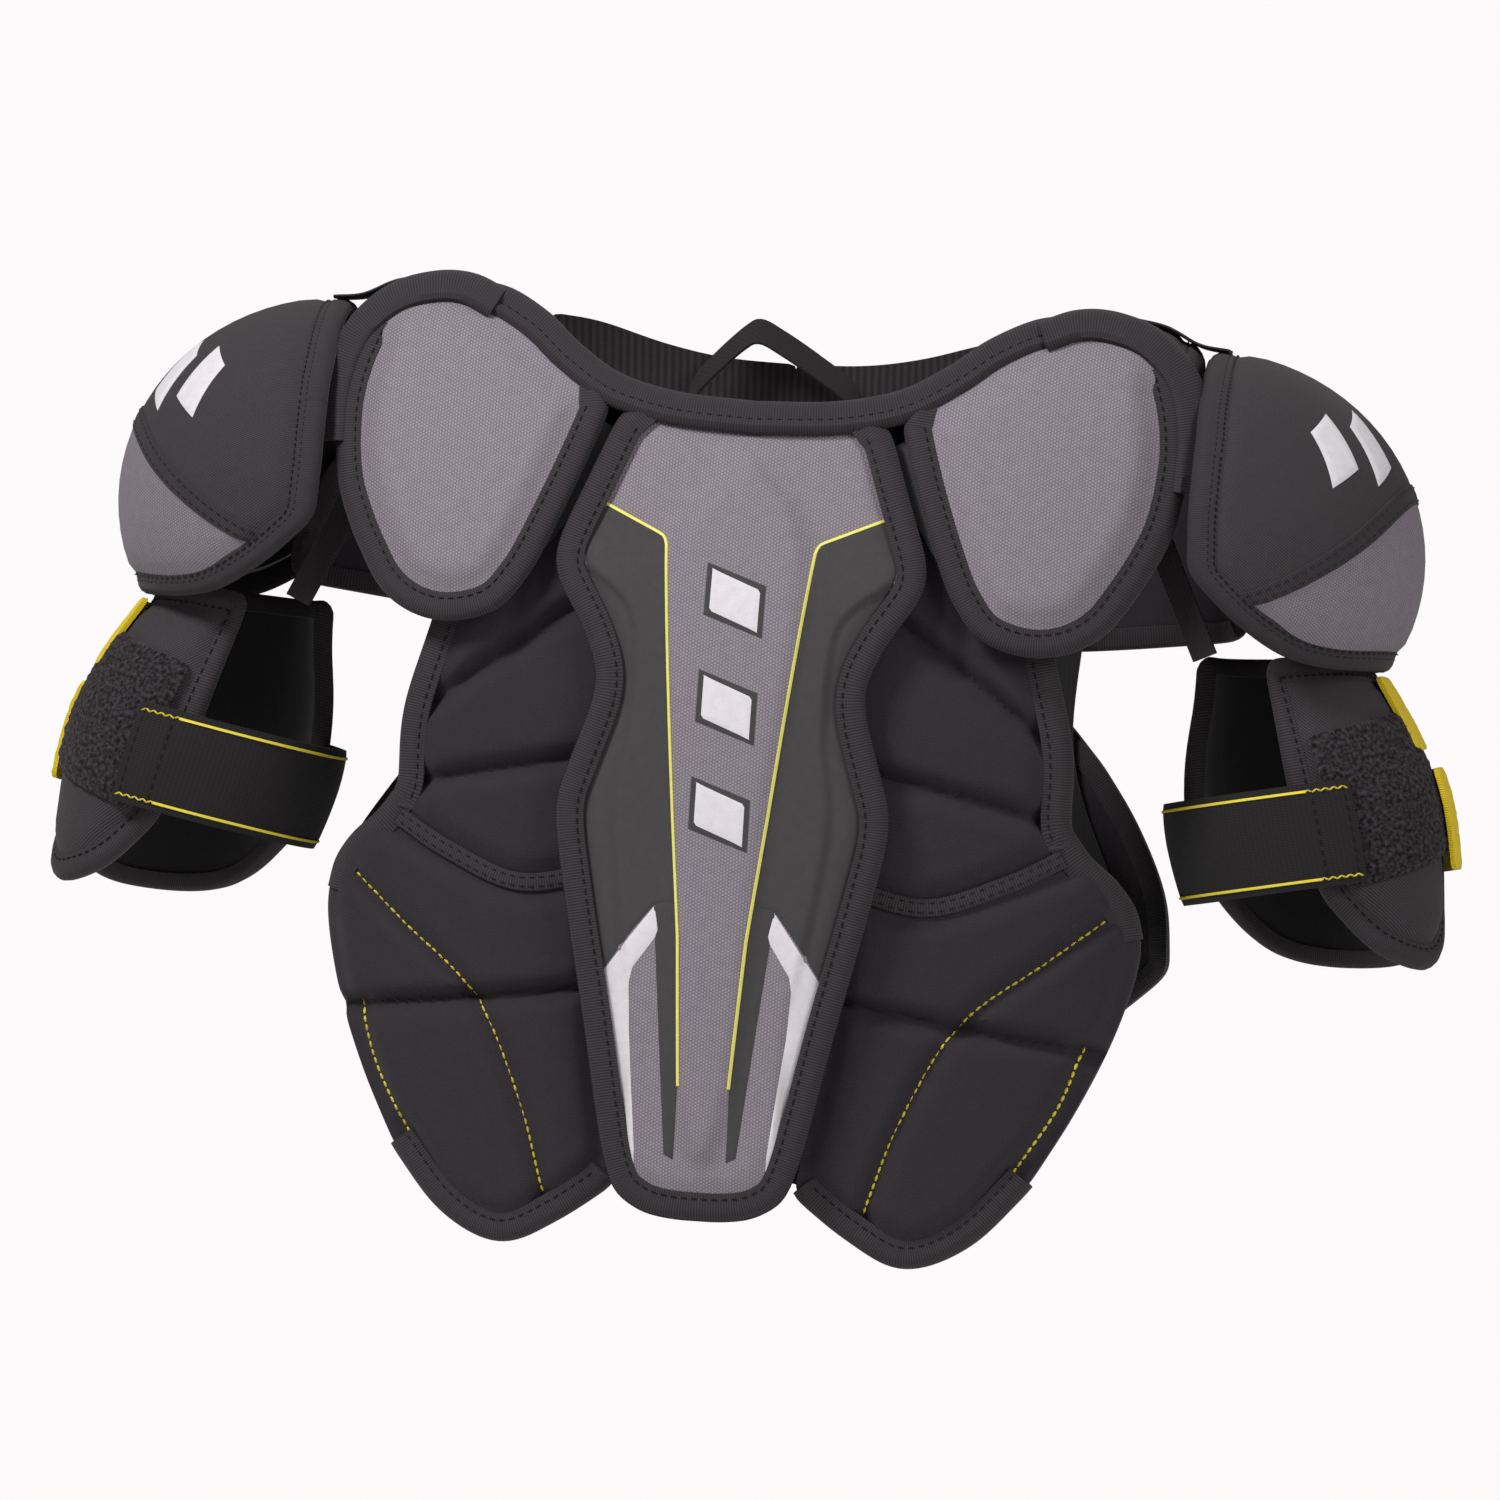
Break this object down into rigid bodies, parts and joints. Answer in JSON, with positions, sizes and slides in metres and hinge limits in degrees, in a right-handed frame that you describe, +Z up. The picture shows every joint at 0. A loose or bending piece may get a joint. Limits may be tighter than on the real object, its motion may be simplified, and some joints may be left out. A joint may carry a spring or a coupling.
{
  "type": "hockey shoulder pads",
  "caption": "Junior ice hockey shoulder pads: padded chest and back, sternum plate, clavicle pads, shoulder caps and strapped arm guards.",
  "frame": {"origin": "middle of the neck opening, level with the front of the collar", "axes": "the wearer faces -Y, +X is the wearer's left, +Z is up"},
  "size_m": [0.569, 0.2177, 0.3802],
  "materials": {
    "chest_fabric": "knitted polyester, matt",
    "brushed_lining": "brushed tricot, matt",
    "ribbed_knit": "ribbed knit, matt",
    "black_webbing": "woven webbing",
    "charcoal_twill": "woven twill, matt",
    "grey_mesh": "woven mesh, matt",
    "hard_shell": "moulded polyethylene",
    "foam": "closed cell foam",
    "elastic": "ribbed elastic",
    "yellow_hook_tape": "woven hook tape",
    "loop_pile": "fuzzy loop pile",
    "steel": "satin"
  },
  "bodies": {
    "root": {"front_liner": "brushed_lining", "collar_front": "ribbed_knit", "hang_loop": "black_webbing", "back_liner": "brushed_lining", "spine_pad": "chest_fabric", "spine_plate": "hard_shell", "chest_pad_left": "chest_fabric", "chest_pad_right": "chest_fabric", "belly_pad_left": "chest_fabric", "belly_pad_right": "chest_fabric", "collar_rear_left": "ribbed_knit", "collar_rear_right": "ribbed_knit", "shoulder_yoke_left": "charcoal_twill", "shoulder_yoke_right": "charcoal_twill", "cap_strap_left": "black_webbing", "cap_strap_right": "black_webbing", "scapula_pad_left": "chest_fabric", "scapula_pad_right": "chest_fabric", "rib_pad_left": "chest_fabric", "rib_pad_right": "chest_fabric", "side_strap_left": "elastic", "side_strap_right": "elastic"},
    "sternum_plate": {"sternum_cover": "grey_mesh", "sternum_insert": "hard_shell", "sternum_foam": "foam"},
    "clavicle_left": {"clavicle_pad_left": "grey_mesh", "clavicle_insert_left": "hard_shell"},
    "cap_left": {"cap_cover_left": "charcoal_twill", "cap_insert_left": "hard_shell", "cap_liner_left": "brushed_lining", "cap_hanger_left": "black_webbing", "cap_rivet_left": "steel"},
    "arm_guard_left": {"bicep_front_wing_left": "charcoal_twill", "bicep_rear_wing_left": "charcoal_twill", "bicep_loop_patch_left": "loop_pile", "bicep_strap_left": "elastic", "bicep_hanger_tab_left": "yellow_hook_tape"},
    "arm_tab_left": {"bicep_tab_left": "yellow_hook_tape"},
    "flank_tab_left": {"side_tab_left": "yellow_hook_tape"},
    "clavicle_right": {"clavicle_pad_right": "grey_mesh", "clavicle_insert_right": "hard_shell"},
    "cap_right": {"cap_cover_right": "charcoal_twill", "cap_insert_right": "hard_shell", "cap_liner_right": "brushed_lining", "cap_hanger_right": "black_webbing", "cap_rivet_right": "steel"},
    "arm_guard_right": {"bicep_front_wing_right": "charcoal_twill", "bicep_rear_wing_right": "charcoal_twill", "bicep_loop_patch_right": "loop_pile", "bicep_strap_right": "elastic", "bicep_hanger_tab_right": "yellow_hook_tape"},
    "arm_tab_right": {"bicep_tab_right": "yellow_hook_tape"},
    "flank_tab_right": {"side_tab_right": "yellow_hook_tape"}
  },
  "joints": [
    {"name": "sternum_lift", "type": "hinge", "parent": "root", "child": "sternum_plate", "pos_m": [0, -0.08656, -0.004], "axis": [-1, 0, 0], "range_deg": [0, 25]},
    {"name": "clavicle_lift_left", "type": "hinge", "parent": "root", "child": "clavicle_left", "pos_m": [0.061, -0.07799, 0.002], "axis": [-0.8654, -0.3584, -0.3501], "range_deg": [0, 30]},
    {"name": "cap_swing_left", "type": "hinge", "parent": "root", "child": "cap_left", "pos_m": [0.184, 0, 0.043], "axis": [0, -1, 0], "range_deg": [0, 45]},
    {"name": "arm_swing_left", "type": "hinge", "parent": "cap_left", "child": "arm_guard_left", "pos_m": [0.208, 0, -0.062], "axis": [1, 0, 0], "range_deg": [-10, 10]},
    {"name": "arm_tab_peel_left", "type": "hinge", "parent": "arm_guard_left", "child": "arm_tab_left", "pos_m": [0.26787, 0.03597, -0.13943], "axis": [0, 0, 1], "range_deg": [0, 80]},
    {"name": "flank_tab_peel_left", "type": "hinge", "parent": "root", "child": "flank_tab_left", "pos_m": [0.141, -0.028, -0.205], "axis": [0, 0, -1], "range_deg": [0, 60]},
    {"name": "clavicle_lift_right", "type": "hinge", "parent": "root", "child": "clavicle_right", "pos_m": [-0.061, -0.07799, 0.002], "axis": [-0.8654, 0.3584, 0.3501], "range_deg": [0, 30]},
    {"name": "cap_swing_right", "type": "hinge", "parent": "root", "child": "cap_right", "pos_m": [-0.184, 0, 0.043], "axis": [0, 1, 0], "range_deg": [0, 45]},
    {"name": "arm_swing_right", "type": "hinge", "parent": "cap_right", "child": "arm_guard_right", "pos_m": [-0.208, 0, -0.062], "axis": [1, 0, 0], "range_deg": [-10, 10]},
    {"name": "arm_tab_peel_right", "type": "hinge", "parent": "arm_guard_right", "child": "arm_tab_right", "pos_m": [-0.26787, 0.03597, -0.13943], "axis": [0, 0, -1], "range_deg": [0, 80]},
    {"name": "flank_tab_peel_right", "type": "hinge", "parent": "root", "child": "flank_tab_right", "pos_m": [-0.141, -0.028, -0.205], "axis": [0, 0, 1], "range_deg": [0, 60]}
  ]
}
